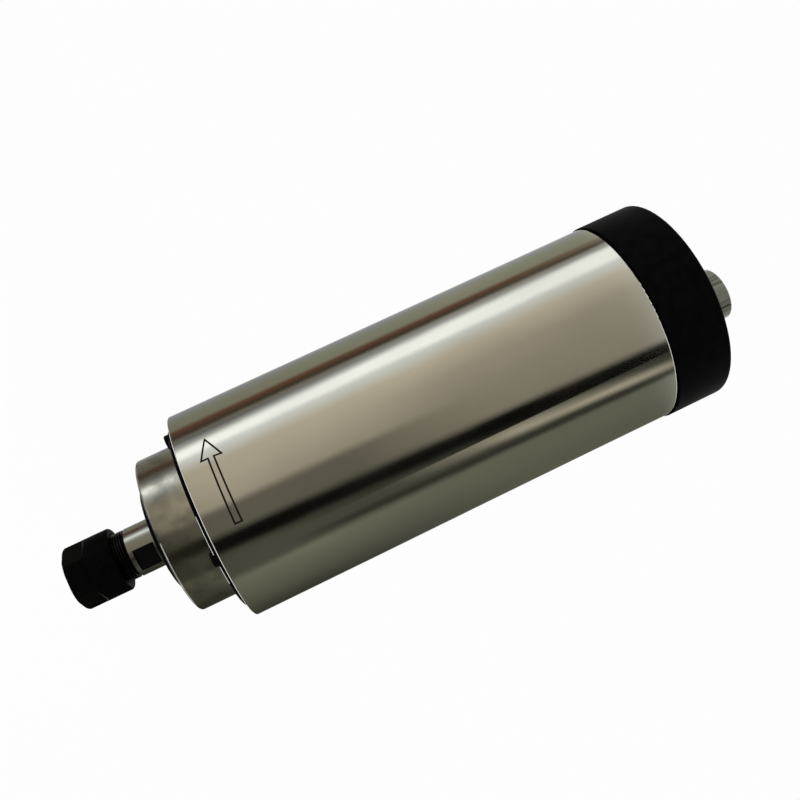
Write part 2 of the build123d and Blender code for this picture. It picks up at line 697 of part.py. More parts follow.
def rotor_end_ring(side):
    """A cast ring at one end of the rotor's core, with a sloped outside and small balancing pegs."""
    face = core_front_z if side < 0 else core_back_z
    end = face + side * end_ring_length
    end_ring = turned(
        (end_ring_bore / 2, face),
        (rotor_diameter / 2 - end_ring_step, face),
        (rotor_diameter / 2 - end_ring_fall, end),
        (end_ring_bore / 2, end))
    peg_circle = (end_ring_bore + rotor_diameter) / 2 - end_ring_fall
    low, high = sorted((end - side * peg_height / 2, end + side * peg_height))
    for place in around(peg_circle, peg_count):
        end_ring += place * rod(peg_diameter / 2, low, high)
    return end_ring


def rear_lock_nut():
    """The slotted nut that holds the rear bearings' inner rings."""
    end_z = lock_nut_z + lock_nut_length
    nut = ring(lock_nut_diameter / 2, rear_bearing_bore / 2 + thread_gap, lock_nut_z, end_z)
    nut = chamfer(rims(nut, lock_nut_diameter / 2, end_z), plain_edge)
    for place in around(lock_nut_diameter, 4, 45):
        nut -= place * Pos(0, 0, lock_nut_z + lock_nut_length / 2) * Box(
            lock_nut_notch, lock_nut_notch, lock_nut_length)
    return nut


def cooling_fan():
    """A flat plate with swept blades behind it, on a hub that fits the end of the shaft."""
    hub_bore = shaft_fan_diameter / 2 + press_gap
    hub_front_z = lock_nut_z + lock_nut_length + lock_nut_gap
    fan = ring(fan_diameter / 2, hub_bore, fan_plate_z, fan_plate_z + fan_plate)
    fan += ring(fan_hub_diameter / 2, hub_bore, hub_front_z, fan_back_z)
    fan = chamfer(rims(fan, fan_hub_diameter / 2, fan_back_z), plain_edge)
    tip = fan_diameter / 2 - plain_edge
    sweep_back = math.radians(fan_blade_sweep)
    middle = ((fan_blade_root + tip) / 2, fan_blade_bulge)
    end = (tip * math.cos(sweep_back), tip * math.sin(sweep_back))
    spine = ThreePointArc((fan_blade_root, 0), middle, end)
    blade_z = fan_plate_z + fan_plate / 2
    blade_height = fan_back_z - fan_blade_low - blade_z
    blade = extrude(Pos(0, 0, blade_z) * trace(spine, fan_blade_thickness), blade_height)
    for k in range(fan_blades):
        fan += Rot(0, 0, 360 / fan_blades * k) * blade
    return fan


def washer_on_fan():
    """A plain washer that presses the fan's hub."""
    bore = fan_screw_size / 2 + thread_gap
    return ring(fan_washer_diameter / 2, bore, fan_back_z, fan_back_z + fan_washer)


def fan_screw():
    """The screw that holds washer and fan on the shaft's end."""
    screw = cap_screw(fan_screw_size, fan_screw_length)
    return Pos(0, 0, fan_back_z + fan_washer) * Rot(180, 0, 0) * screw


def slot_outline(lining):
    """The section of one slot, or of the copper in it once the lining is taken off each wall."""
    half_in = slot_inner_width / 2 - lining
    half_out = slot_outer_width / 2 - lining
    inner = slot_inner_radius + lining
    outer = slot_inner_radius + slot_depth - lining
    corners = [(inner, -half_in), (outer, -half_out), (outer, half_out), (inner, half_in)]
    return make_face(Polyline(*corners, close=True))


def stator_core():
    """The laminated stack: a ring with half-closed slots that face the rotor."""
    section = Circle(jacket_bore / 2 - press_gap) - Circle(stator_bore_radius)
    opening = Pos(slot_inner_radius, 0) * Rectangle(3 * tooth_tip, slot_opening)
    slot = slot_outline(0) + opening
    for k in range(stator_slots):
        section -= Rot(0, 0, 360 / stator_slots * k) * slot
    return extrude(Pos(0, 0, core_front_z) * section, core_length)


def stator_winding():
    """The copper: a bar in each slot, joined by a rounded ring of end turns at both ends."""
    bar = slot_outline(slot_lining)
    section = Sketch() + [Rot(0, 0, 360 / stator_slots * k) * bar for k in range(stator_slots)]
    bar_end = 2 * winding_start
    winding = extrude(Pos(0, 0, core_front_z - bar_end) * section, core_length + 2 * bar_end)
    inner = slot_inner_radius + slot_lining
    outer = winding_outer_radius
    for face, side in ((core_front_z, -1), (core_back_z, 1)):
        end = face + side * winding_overhang
        low, high = sorted((face + side * winding_start, end))
        turns = ring(outer, inner, low, high)
        turns = fillet(rims(turns, outer, end), winding_outer_edge)
        turns = fillet(rims(turns, inner, end), winding_inner_edge)
        winding += turns
    return winding


def collet():
    """The spring collet: two cones, a groove for the nut, and slits cut in turn from both ends."""
    big_radius = collet_big_diameter / 2 - collet_gap
    small_radius = big_radius - (collet_back_z - collet_cone_z) * collet_slope
    body = turned(
        (collet_bore / 2, collet_front_z),
        (collet_face_diameter / 2, collet_front_z),
        (collet_ring_diameter / 2, collet_ring_z),
        (collet_ring_diameter / 2, collet_groove_z),
        (collet_groove_diameter / 2, collet_groove_z),
        (collet_groove_diameter / 2, collet_big_z),
        (big_radius, collet_big_z),
        (big_radius, collet_cone_z),
        (small_radius, collet_back_z),
        (collet_bore / 2, collet_back_z))
    length = collet_length - collet_slit_wall
    reach = collet_big_diameter / 2 + 1
    slit = Box(reach, collet_slit_width, length, align=(Align.MIN, Align.CENTER, Align.MIN))
    for k in range(collet_slits):
        turn = collet_slit_turn + 360 / collet_slits * k
        body -= Rot(0, 0, turn) * Pos(0, 0, collet_front_z) * slit
        body -= Rot(0, 0, turn + 180 / collet_slits) * Pos(0, 0, collet_front_z + collet_slit_wall) * slit
    return body


def collet_nut():
    """The nut: thread, a lip in the collet's groove, a cone that presses it in, six wrench flats."""
    ring_radius = collet_ring_diameter / 2 + 2 * collet_gap
    mouth_radius = nut_mouth_diameter / 2
    cone_z = collet_ring_z - (ring_radius - mouth_radius) / nose_slope
    lip_front_z = collet_groove_z + lip_play
    lip_back_z = collet_big_z - lip_play
    cavity_radius = collet_big_diameter / 2 + nut_cavity
    thread_radius = thread_diameter / 2 + thread_gap
    thread_front_z = nut_back_z - nut_thread_length
    nut = turned(
        (mouth_radius, nut_front_z),
        (nut_diameter / 2, nut_front_z),
        (nut_diameter / 2, nut_back_z),
        (thread_radius, nut_back_z),
        (thread_radius, thread_front_z),
        (cavity_radius, thread_front_z),
        (cavity_radius, lip_back_z),
        (nut_lip_bore / 2, lip_back_z),
        (nut_lip_bore / 2, lip_front_z),
        (ring_radius, lip_front_z),
        (ring_radius, collet_ring_z),
        (mouth_radius, cone_z))
    nut = fillet(rims(nut, nut_diameter / 2, nut_front_z), nut_edge)
    nut = fillet(rims(nut, nut_diameter / 2, nut_back_z), nut_back_edge)
    nut = chamfer(rims(nut, thread_radius, nut_back_z), plain_edge)
    across = nut_flat_width / 2
    depth = nut_diameter / 2 - across
    floor_z = nut_front_z + nut_flat_length
    side = make_face(Polyline(
        (across, 0, nut_front_z - 1),
        (across, 0, floor_z),
        (across + depth, 0, floor_z + nut_flat_runout),
        (across + depth + 1, 0, floor_z + nut_flat_runout),
        (across + depth + 1, 0, nut_front_z - 1),
        close=True))
    cutter = extrude(side, nut_diameter / 2, both=True)
    for k in range(6):
        nut -= Rot(0, 0, nut_flat_turn + 60 * k) * cutter
    return nut


def connector_shell():
    """The metal socket: flange on the cap, threaded tail inside, plain collar with a key groove outside."""
    outer = socket_diameter / 2
    flange_z = cap_back_z + socket_gasket
    shell = ring(outer, socket_seat_radius, socket_front_z, socket_back_z)
    shell += ring(socket_flange_diameter / 2, socket_seat_radius, flange_z, flange_z + socket_flange)
    shell -= rod(outer - socket_wall, insert_face_z, socket_back_z)
    shell = chamfer(rims(shell, outer, socket_back_z), fine_edge)
    shell = chamfer(rims(shell, socket_flange_diameter / 2, flange_z + socket_flange), fine_edge)
    groove_z = flange_z + socket_flange + socket_key_start
    groove = Pos(outer, 0, groove_z) * Box(2 * socket_key_depth, socket_key_width, socket_back_z - groove_z,
                                           align=(Align.CENTER, Align.CENTER, Align.MIN))
    return at_socket(shell - Rot(0, 0, socket_key_turn) * groove)


def connector_gasket():
    """The rubber ring under the socket's flange."""
    return at_socket(ring(socket_flange_diameter / 2 - 0.2, socket_diameter / 2 + thread_gap,
                          cap_back_z, cap_back_z + socket_gasket))


def connector_nut():
    """The hexagon nut that holds the socket from inside the cap."""
    hexagon = extrude(Pos(0, 0, cap_inner_z - socket_nut) * RegularPolygon(
        socket_nut_across / 2, 6, major_radius=False), socket_nut)
    hexagon &= rod(socket_nut_across / 2 + 1, cap_inner_z - socket_nut, cap_inner_z)
    hexagon -= rod(socket_diameter / 2 + thread_gap, cap_inner_z - socket_nut, cap_inner_z)
    return at_socket(hexagon)


def pin_places():
    """Places of the contact pins about the socket's axis."""
    return around(pin_circle, pin_count, 180 / pin_count)


def connector_insert():
    """The insulating block that carries the pins."""
    insert = rod(socket_seat_radius - press_gap, socket_front_z, insert_face_z)
    for place in pin_places():
        insert -= place * rod(pin_diameter / 2 + press_gap, socket_front_z, insert_face_z)
    return at_socket(insert)


def connector_pins():
    """Contact pins, round-nosed outside, with a solder cup on the inside end of each."""
    pin = rod(pin_diameter / 2, socket_front_z - 1, insert_face_z + pin_length)
    pin = fillet(rims(pin, pin_diameter / 2, insert_face_z + pin_length), pin_diameter / 4)
    cup = rod(cup_diameter / 2, socket_front_z - cup_length, socket_front_z)
    cup -= rod(lead_diameter / 2 + press_gap, socket_front_z - cup_length, socket_front_z - cup_length / 2)
    return group(at_socket(place * (pin + cup)) for place in pin_places())


def pin_centre(number):
    """One pin's own axis, from the spindle axis."""
    angle = math.radians(180 / pin_count + 360 / pin_count * number)
    return (socket_offset + pin_circle / 2 * math.cos(angle), pin_circle / 2 * math.sin(angle))


def polar(radius, angle, z):
    """A point at a radius and an angle from +X."""
    return (radius * math.cos(math.radians(angle)), radius * math.sin(math.radians(angle)), z)


def wire_along(points, bends):
    """A round wire along straight runs joined by arcs."""
    path = FilletPolyline(*points, radius=bends)
    start = Plane(origin=path @ 0, z_dir=path % 0)
    return sweep(start * Circle(lead_diameter / 2), path=path)


def phase_lead(angle, pin):
    """A lead from the winding, through the slot in the bearing housing, past the fan to its solder cup."""
    x, y = pin_centre(pin)
    turn_z = bell_back_z + lead_turn
    cup_z = socket_front_z - cup_length / 2
    points = [
        polar(lead_inner_radius, angle, winding_back_z),
        polar(lead_inner_radius, angle, turn_z),
        polar(lead_outer_radius, angle, turn_z + lead_outer_radius - lead_inner_radius),
        polar(lead_outer_radius, angle, crossing_z),
        (x, y, crossing_z),
        (x, y, cup_z)]
    return wire_along(points, lead_bend)


def earth_lead(pin):
    """The earth lead from its solder cup down beside the fan to the terminal on the bearing housing."""
    x, y = pin_centre(pin)
    low_z = bell_back_z + terminal_thickness + lead_diameter / 2 + barrel_gap
    points = [
        (x, y, socket_front_z - cup_length / 2),
        (x, y, crossing_z),
        polar(lead_outer_radius, earth_angle, crossing_z),
        polar(lead_outer_radius, earth_angle, low_z),
        polar(terminal_circle + terminal_radius + barrel_gap, earth_angle, low_z)]
    return wire_along(points, lead_bend)


def earth_terminal():
    """A ring terminal under the earth screw, with a barrel crimped on the lead."""
    top_z = bell_back_z + terminal_thickness
    screw_hole = earth_screw_size / 2 + thread_gap
    eye = ring(terminal_radius, screw_hole, bell_back_z, top_z)
    axis_z = top_z + lead_diameter / 2 + barrel_gap
    lead_hole = lead_diameter / 2 + press_gap
    sleeve = rod(lead_hole + barrel_wall, 0, barrel_length) - rod(lead_hole, 0, barrel_length)
    barrel = Pos(terminal_radius, 0, axis_z) * Rot(0, 90, 0) * sleeve
    stands = (Align.CENTER, Align.CENTER, Align.MIN)
    neck = Pos(terminal_radius, 0, bell_back_z) * Box(
        barrel_length * 1.5, lead_diameter, terminal_thickness, align=stands)
    neck -= rod(screw_hole, bell_back_z, top_z)
    neck -= Pos(0, 0, axis_z) * Rot(0, 90, 0) * rod(lead_hole, 0, 3 * barrel_length)
    return Rot(0, 0, earth_angle) * Pos(terminal_circle, 0, 0) * (eye + neck + barrel)


def earth_screw():
    """The screw that holds the earth terminal on the bearing housing."""
    screw = Pos(0, 0, bell_back_z + terminal_thickness) * Rot(180, 0, 0) * cap_screw(
        earth_screw_size, earth_screw_length)
    return Rot(0, 0, earth_angle) * Pos(terminal_circle, 0, 0) * screw


nodes = {
    "outer_sleeve": outer_sleeve(),
    "front_clamp_ring": front_clamp_ring(),
    "front_ring_screws": front_ring_screws(),
    "nose_housing": nose_housing(),
    "bearing_retainer": bearing_retainer(),
    "retainer_screws": retainer_screws(),
    "stator_housing": stator_housing(),
    "rear_bearing_housing": rear_bearing_housing(),
    "rear_housing_screws": rear_housing_screws(),
    "rear_cap": rear_cap(),
    "rear_cap_screws": rear_cap_screws(),
    "preload_disc_spring": preload_disc_spring(),
    "rotor_shaft": rotor_shaft(),
    "dust_disc": dust_disc(),
    "rotor_core": rotor_core(),
    "rotor_end_ring_front": rotor_end_ring(-1),
    "rotor_end_ring_rear": rotor_end_ring(1),
    "rear_lock_nut": rear_lock_nut(),
    "cooling_fan": cooling_fan(),
    "fan_washer": washer_on_fan(),
    "fan_screw": fan_screw(),
    "stator_core": stator_core(),
    "stator_winding": stator_winding(),
    "collet": collet(),
    "collet_nut": collet_nut(),
    "connector_shell": connector_shell(),
    "connector_gasket": connector_gasket(),
    "connector_nut": connector_nut(),
    "connector_insert": connector_insert(),
    "connector_pins": connector_pins(),
    "phase_lead_1": phase_lead(lead_angles[0], 3),
    "phase_lead_2": phase_lead(lead_angles[1], 0),
    "phase_lead_3": phase_lead(lead_angles[2], 1),
    "earth_lead": earth_lead(2),
    "earth_terminal": earth_terminal(),
    "earth_screw": earth_screw(),
}
nodes.update(bearing_nodes())

for node, piece in nodes.items():
    export_step(piece, f"parts/{node}.step")
    print(node, round(piece.volume, 1))
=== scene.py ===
"""Air-cooled router spindle: its finishes, engraving, thread and photo stand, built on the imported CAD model.

Lengths are in metres in the part's own frame: +Z along the axis towards the rear cap, +X towards the socket.
"""

import math

import bmesh
import bpy
from mathutils import Matrix, Vector


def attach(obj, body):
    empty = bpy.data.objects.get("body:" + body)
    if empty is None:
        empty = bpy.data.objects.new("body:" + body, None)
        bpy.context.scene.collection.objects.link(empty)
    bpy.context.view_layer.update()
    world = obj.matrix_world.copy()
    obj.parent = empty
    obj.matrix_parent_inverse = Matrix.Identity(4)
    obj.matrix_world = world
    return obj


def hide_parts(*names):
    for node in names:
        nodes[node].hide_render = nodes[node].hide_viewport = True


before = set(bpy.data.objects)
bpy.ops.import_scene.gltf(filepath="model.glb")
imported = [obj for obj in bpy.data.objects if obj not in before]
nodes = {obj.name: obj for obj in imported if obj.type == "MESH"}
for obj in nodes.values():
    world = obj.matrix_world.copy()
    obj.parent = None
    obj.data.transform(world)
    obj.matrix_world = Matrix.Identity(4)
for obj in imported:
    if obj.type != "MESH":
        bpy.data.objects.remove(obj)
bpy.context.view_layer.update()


# The outer sleeve is a length of stainless tube, turned true and then polished along its length.
# The polish leaves a soft mirror with faint streaks along the axis and a slightly wavy surface.
# It fits over the ribs of the motor's jacket, and its two rims are rounded.
sleeve_colour = (0.66, 0.64, 0.585)
sleeve_dark_share = 0.93
sleeve_light_share = 1.05
streak_width = 0.0007
streak_depth = 0.000001
cloud_size = 0.016
wave_size = 0.012
wave_depth = 0.00006
noise_span = (0.3, 0.7)


def finish(name, metal=0.0, roughness=0.5, specular=0.5):
    """A new material. Values that are even all over it are set on the shader itself."""
    material = bpy.data.materials.new(name)
    material.use_nodes = True
    shader = material.node_tree.nodes["Principled BSDF"]
    shader.inputs["Metallic"].default_value = metal
    shader.inputs["Roughness"].default_value = roughness
    shader.inputs["Specular IOR Level"].default_value = specular
    return material


def own_place(material):
    """The place on the surface, in the piece's own space."""
    return material.node_tree.nodes.new("ShaderNodeTexCoord").outputs["Object"]


def grain(material, size, drawn_out=(1, 1, 1), detail=3.0):
    """Fine random marks of about that size, drawn out along X, Y and Z that many times."""
    tree = material.node_tree
    stretch = tree.nodes.new("ShaderNodeMapping")
    stretch.inputs["Scale"].default_value = [1 / (size * times) for times in drawn_out]
    tree.links.new(own_place(material), stretch.inputs["Vector"])
    noise = tree.nodes.new("ShaderNodeTexNoise")
    noise.inputs["Scale"].default_value = 1.0
    noise.inputs["Detail"].default_value = detail
    tree.links.new(stretch.outputs["Vector"], noise.inputs["Vector"])
    return noise.outputs["Fac"]


def streaks(material, size, times, detail=3.0):
    """Marks drawn out along the axis."""
    return grain(material, size, (1, 1, times), detail)


def vary(material, socket, source, low, high):
    """Moves one number of the shader from low to high as the source rises over the noise's span."""
    tree = material.node_tree
    scale = tree.nodes.new("ShaderNodeMapRange")
    scale.inputs["From Min"].default_value, scale.inputs["From Max"].default_value = noise_span
    scale.inputs["To Min"].default_value = low
    scale.inputs["To Max"].default_value = high
    tree.links.new(source, scale.inputs["Value"])
    tree.links.new(scale.outputs["Result"], tree.nodes["Principled BSDF"].inputs[socket])


def tint(material, source, dark, light, span=noise_span):
    """Moves the colour from the dark tone to the light one as the source rises over the span."""
    tree = material.node_tree
    ramp = tree.nodes.new("ShaderNodeValToRGB")
    for stop, place, colour in zip(ramp.color_ramp.elements, span, (dark, light)):
        stop.position = place
        stop.color = (*colour, 1)
    tree.links.new(source, ramp.inputs["Fac"])
    tree.links.new(ramp.outputs["Color"], tree.nodes["Principled BSDF"].inputs["Base Color"])


def relief(material, source, depth):
    """Raises and sinks the surface by that source. A later relief adds to an earlier one."""
    tree = material.node_tree
    shader = tree.nodes["Principled BSDF"]
    bump = tree.nodes.new("ShaderNodeBump")
    bump.inputs["Distance"].default_value = depth
    tree.links.new(source, bump.inputs["Height"])
    for link in list(shader.inputs["Normal"].links):
        tree.links.new(link.from_socket, bump.inputs["Normal"])
    tree.links.new(bump.outputs["Normal"], shader.inputs["Normal"])


def dress(material, *names):
    """Gives the material to these CAD nodes."""
    for name in names:
        piece = nodes[name]
        piece.data.materials.clear()
        piece.data.materials.append(material)


def scaled(colour, share):
    return tuple(share * part for part in colour)


polished_steel = finish("polished_steel", metal=1.0)
polish_streaks = streaks(polished_steel, streak_width, times=60)
clouds = streaks(polished_steel, cloud_size, times=2.5, detail=6.0)
waves = streaks(polished_steel, wave_size, times=3, detail=2.0)
tint(polished_steel, clouds, dark=scaled(sleeve_colour, sleeve_dark_share),
     light=scaled(sleeve_colour, sleeve_light_share))
vary(polished_steel, "Roughness", clouds, low=0.15, high=0.09)
relief(polished_steel, polish_streaks, streak_depth)
relief(polished_steel, waves, wave_depth)
dress(polished_steel, "outer_sleeve")


# The turning direction is engraved on the sleeve as the outline of an arrow, by a laser.
# The line is thin and nearly black, and lies flush with the steel around it.
# Each corner below is a height along the axis and an angle round it, in degrees.
sleeve_radius = 0.040
arrow_line = 0.00065
arrow_rise = 0.000012
arrow_step = 0.001
arrow_tip = (0.0108, -62.2)
arrow_barbs = ((0.0145, -50.6), (0.00715, -51.0))
arrow_neck = ((0.0118, -51.0), (0.00965, -51.0))
arrow_tail = ((0.0118, -16.0), (0.0093, -16.0))


def strip_mesh(name, rows, closed=True):
    """A mesh of quads between neighbouring rows of points. All rows are as long as the first."""
    width = len(rows[0])
    points = [point for row in rows for point in row]
    faces = []
    last = len(rows) if closed else len(rows) - 1
    for r in range(last):
        here, there = r * width, (r + 1) % len(rows) * width
        for c in range(width - 1):
            faces.append((here + c, here + c + 1, there + c + 1, there + c))
    mesh = bpy.data.meshes.new(name)
    mesh.from_pydata(points, [], faces)
    mesh.update()
    return mesh


def add_piece(name, mesh, material, body):
    """Puts a new piece on a CAD body, with its finish."""
    piece = bpy.data.objects.new(name, mesh)
    bpy.context.scene.collection.objects.link(piece)
    piece.data.materials.append(material)
    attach(piece, body)
    return piece


def on_sleeve(along, around, rise):
    """A point over the sleeve: metres along the axis and round the surface, and above it."""
    angle = around / sleeve_radius
    radius = sleeve_radius + rise
    return (radius * math.cos(angle), radius * math.sin(angle), along)


def corner_of(outline, k, offset):
    """The outline's k-th corner, moved outwards square to its two sides by the offset."""
    back, here, ahead = (Vector(outline[(k + step) % len(outline)]) for step in (-1, 0, 1))
    first, second = (here - back).normalized(), (ahead - here).normalized()
    across_first, across_second = Vector((first.y, -first.x)), Vector((second.y, -second.x))
    middle = (across_first + across_second).normalized()
    return here + middle * offset / middle.dot(across_first)


def engraved_outline(name, outline):
    """A line of even width that follows the outline over the sleeve in short steps."""
    rows = []
    for k in range(len(outline)):
        inner = [corner_of(outline, k + step, -arrow_line / 2) for step in (0, 1)]
        outer = [corner_of(outline, k + step, arrow_line / 2) for step in (0, 1)]
        steps = max(1, round((inner[1] - inner[0]).length / arrow_step))
        for step in range(steps):
            share = step / steps
            rows.append([
                on_sleeve(*inner[0].lerp(inner[1], share), arrow_rise),
                on_sleeve(*outer[0].lerp(outer[1], share), arrow_rise),
            ])
    return strip_mesh(name, rows)


def grey(level):
    return (level, level, level)


arrow_corners = [
    (z, math.radians(angle) * sleeve_radius)
    for z, angle in (arrow_tip, arrow_barbs[0], arrow_neck[0], arrow_tail[0],
                     arrow_tail[1], arrow_neck[1], arrow_barbs[1])
]
engraving = finish("engraving", roughness=0.6, specular=0.1)
tint(engraving, grain(engraving, size=0.0003), dark=grey(0.002), light=grey(0.008))
add_piece("turning_arrow", engraved_outline("turning_arrow", arrow_corners), engraving,
          "housing")


# The nose is turned from solid steel and carries the front bearings. Its wall is fine-turned and
# polished like the sleeve, a little duller and browner, with handling marks left on it. Its rounded
# front edge has painted shade in its inner half and on the side where no highlight falls on it,
# so that its highlight stays a thin line.
nose_colour = (0.60, 0.575, 0.51)
nose_dark_share = 0.05
nose_tint_span = (0.0, 0.62)
nose_edge_middle = -0.0174
nose_edge_inside = 0.02916
nose_edge_back = -0.0170
nose_bright_side = 60.0
nose_bright_from = 0.0041
nose_painted_shade_depth = 0.33


def rings(material, size, times, detail=3.0):
    """Marks drawn out round the axis, as a turning tool leaves them."""
    return grain(material, size, (times, times, 1), detail)


def place_part(material, axis):
    """One part of the place in the piece's own space, such as "Z"."""
    tree = material.node_tree
    parts = tree.nodes.new("ShaderNodeSeparateXYZ")
    tree.links.new(own_place(material), parts.inputs["Vector"])
    return parts.outputs[axis]


def off_axis(material):
    """The distance from the spindle's axis."""
    tree = material.node_tree
    across = tree.nodes.new("ShaderNodeVectorMath")
    across.operation = "MULTIPLY"
    across.inputs[1].default_value = (1, 1, 0)
    length = tree.nodes.new("ShaderNodeVectorMath")
    length.operation = "LENGTH"
    tree.links.new(own_place(material), across.inputs[0])
    tree.links.new(across.outputs["Vector"], length.inputs[0])
    return length.outputs["Value"]


def towards(material, angle):
    """How far the place lies from the axis in the direction of that angle round it."""
    tree = material.node_tree
    turn = math.radians(angle)
    along = tree.nodes.new("ShaderNodeVectorMath")
    along.operation = "DOT_PRODUCT"
    along.inputs[1].default_value = (math.cos(turn), math.sin(turn), 0)
    tree.links.new(own_place(material), along.inputs[0])
    return along.outputs["Value"]


def combine(owner, operation, *parts):
    """Joins sources and numbers by one sum, such as the larger of the two."""
    tree = owner.node_tree
    node = tree.nodes.new("ShaderNodeMath")
    node.operation = operation
    for slot, part in zip(node.inputs, parts):
        if isinstance(part, float):
            slot.default_value = part
        else:
            tree.links.new(part, slot)
    return node.outputs[0]


nose_steel = finish("nose_steel", metal=1.0)
stains = grain(nose_steel, size=0.007, detail=6.0)
nose_z = place_part(nose_steel, "Z")
# Painted shade: the rounded front edge is coloured dark in its inner half and on the side away from its
# highlight.
on_edge = combine(nose_steel, "LESS_THAN", nose_z, nose_edge_back)
far_side = combine(nose_steel, "LESS_THAN", towards(nose_steel, nose_bright_side), nose_bright_from)
painted_shade_edge = combine(nose_steel, "MULTIPLY", on_edge, far_side)
behind_middle = combine(nose_steel, "GREATER_THAN", nose_z, nose_edge_middle)
front_face = combine(nose_steel, "LESS_THAN", off_axis(nose_steel), nose_edge_inside)
clear_of_inner_edge_shade = combine(nose_steel, "MAXIMUM", behind_middle, front_face)
nose_shade = combine(nose_steel, "SUBTRACT",
                     combine(nose_steel, "MULTIPLY", stains, clear_of_inner_edge_shade),
                     combine(nose_steel, "MULTIPLY", painted_shade_edge, nose_painted_shade_depth))
tint(nose_steel, nose_shade, dark=scaled(nose_colour, nose_dark_share), light=nose_colour,
     span=nose_tint_span)
vary(nose_steel, "Roughness", stains, low=0.24, high=0.14)
relief(nose_steel, rings(nose_steel, size=0.0003, times=60), depth=0.0000015)
relief(nose_steel, grain(nose_steel, size=0.010, detail=1.0), depth=0.00006)
dress(nose_steel, "nose_housing")


# The front clamp ring is anodised aluminium. Four screws clamp it and the nose to the motor's jacket.
# The chamfer at its front is cut after the anodising and shines as a thin line. It is left bare only on
# the arc where that line catches the light; round the rest of the ring it stays black as painted shade.
ring_black = grey(0.0022)
ring_bare = (0.80, 0.79, 0.76)
ring_roughness = 0.42
bare_roughness = 0.25
bare_back = -0.00196
bare_inside = 0.03550
lit_arc_middle_angle = -5.0
lit_arc_from = 0.0329

black_anodised = finish("black_anodised", specular=0.02)
# Painted shade: the chamfer is bare metal only on the arc where its bright line shows, and black elsewhere.
on_chamfer = combine(black_anodised, "MULTIPLY",
                     combine(black_anodised, "LESS_THAN", place_part(black_anodised, "Z"), bare_back),
                     combine(black_anodised, "GREATER_THAN", off_axis(black_anodised), bare_inside))
lit_arc = combine(black_anodised, "GREATER_THAN", towards(black_anodised, lit_arc_middle_angle), lit_arc_from)
bare_on_lit_arc = combine(black_anodised, "MULTIPLY", on_chamfer, lit_arc)
tint(black_anodised, bare_on_lit_arc, dark=ring_black, light=ring_bare)
vary(black_anodised, "Metallic", bare_on_lit_arc, low=0.0, high=1.0)
vary(black_anodised, "Roughness", bare_on_lit_arc, low=ring_roughness, high=bare_roughness)
relief(black_anodised, grain(black_anodised, size=0.0002), depth=0.000002)
dress(black_anodised, "front_clamp_ring")


# The cap screws that hold the ring, the cap and the inner parts are steel with a black oxide skin.
# The slotted nut behind the rear bearings and the fan's screw have it too.
black_oxide = finish("black_oxide", specular=0.03)
tint(black_oxide, grain(black_oxide, size=0.001), dark=grey(0.002), light=(0.006, 0.006, 0.0055))
vary(black_oxide, "Roughness", grain(black_oxide, size=0.0006), low=0.32, high=0.46)
dress(black_oxide, "front_ring_screws", "retainer_screws", "rear_housing_screws", "rear_cap_screws",
      "rear_lock_nut", "fan_screw")


# The dust disc turns with the shaft ahead of the nose, and its hub holds the front bearings' inner
# rings. It is turned from steel and blackened, and its face keeps fine turning rings.
black_plate = finish("black_plate", roughness=0.4, specular=0.02)
tint(black_plate, grain(black_plate, size=0.0015), dark=grey(0.0018), light=grey(0.004))
relief(black_plate, rings(black_plate, size=0.0003, times=60), depth=0.000002)
dress(black_plate, "dust_disc")


# The shaft is hardened steel, ground bright at its collar. The thread for the nut is cut right-handed
# ahead of the collar. The thread is coloured near black, and so are the wrench flats, whose black is
# painted reflection of dark surroundings.
shaft_bright = (0.50, 0.49, 0.45)
shaft_dark = (0.02, 0.0195, 0.019)
thread_pitch = 0.001
thread_side_angle = 30
thread_root = 0.00872
thread_reach = 0.0095
thread_half_width = (thread_reach - thread_root) * math.tan(math.radians(thread_side_angle))
thread_front = -0.0455
thread_turns = 12.4
thread_steps = 72
thread_dark_back = -0.0327
flat_half_width = 0.00825
flat_middle = -0.0271
flat_half_length = 0.00402
flat_dark_depth = 0.00003
weld_distance = 0.0000005
sharp_edge_angle = 20


def groove_cutter():
    """A three-sided bar wound round the shaft. Its edge cuts the root of the thread."""
    count = round(thread_turns * thread_steps)
    points = []
    for k in range(count + 1):
        turn = 2 * math.pi * k / thread_steps
        z = thread_front + thread_pitch * k / thread_steps
        for radius, shift in ((thread_root, 0.0), (thread_reach, -thread_half_width),
                              (thread_reach, thread_half_width)):
            points.append((radius * math.cos(turn), radius * math.sin(turn), z + shift))
    faces = [(0, 1, 2), (3 * count + 2, 3 * count + 1, 3 * count)]
    for k in range(count):
        for side in range(3):
            there = (side + 1) % 3
            faces.append((3 * k + side, 3 * k + 3 + side, 3 * k + 3 + there, 3 * k + there))
    mesh = bpy.data.meshes.new("groove_cutter")
    mesh.from_pydata(points, [], faces)
    shape = bmesh.new()
    shape.from_mesh(mesh)
    bmesh.ops.recalc_face_normals(shape, faces=shape.faces)
    shape.to_mesh(mesh)
    shape.free()
    cutter = bpy.data.objects.new("groove_cutter", mesh)
    bpy.context.scene.collection.objects.link(cutter)
    return cutter


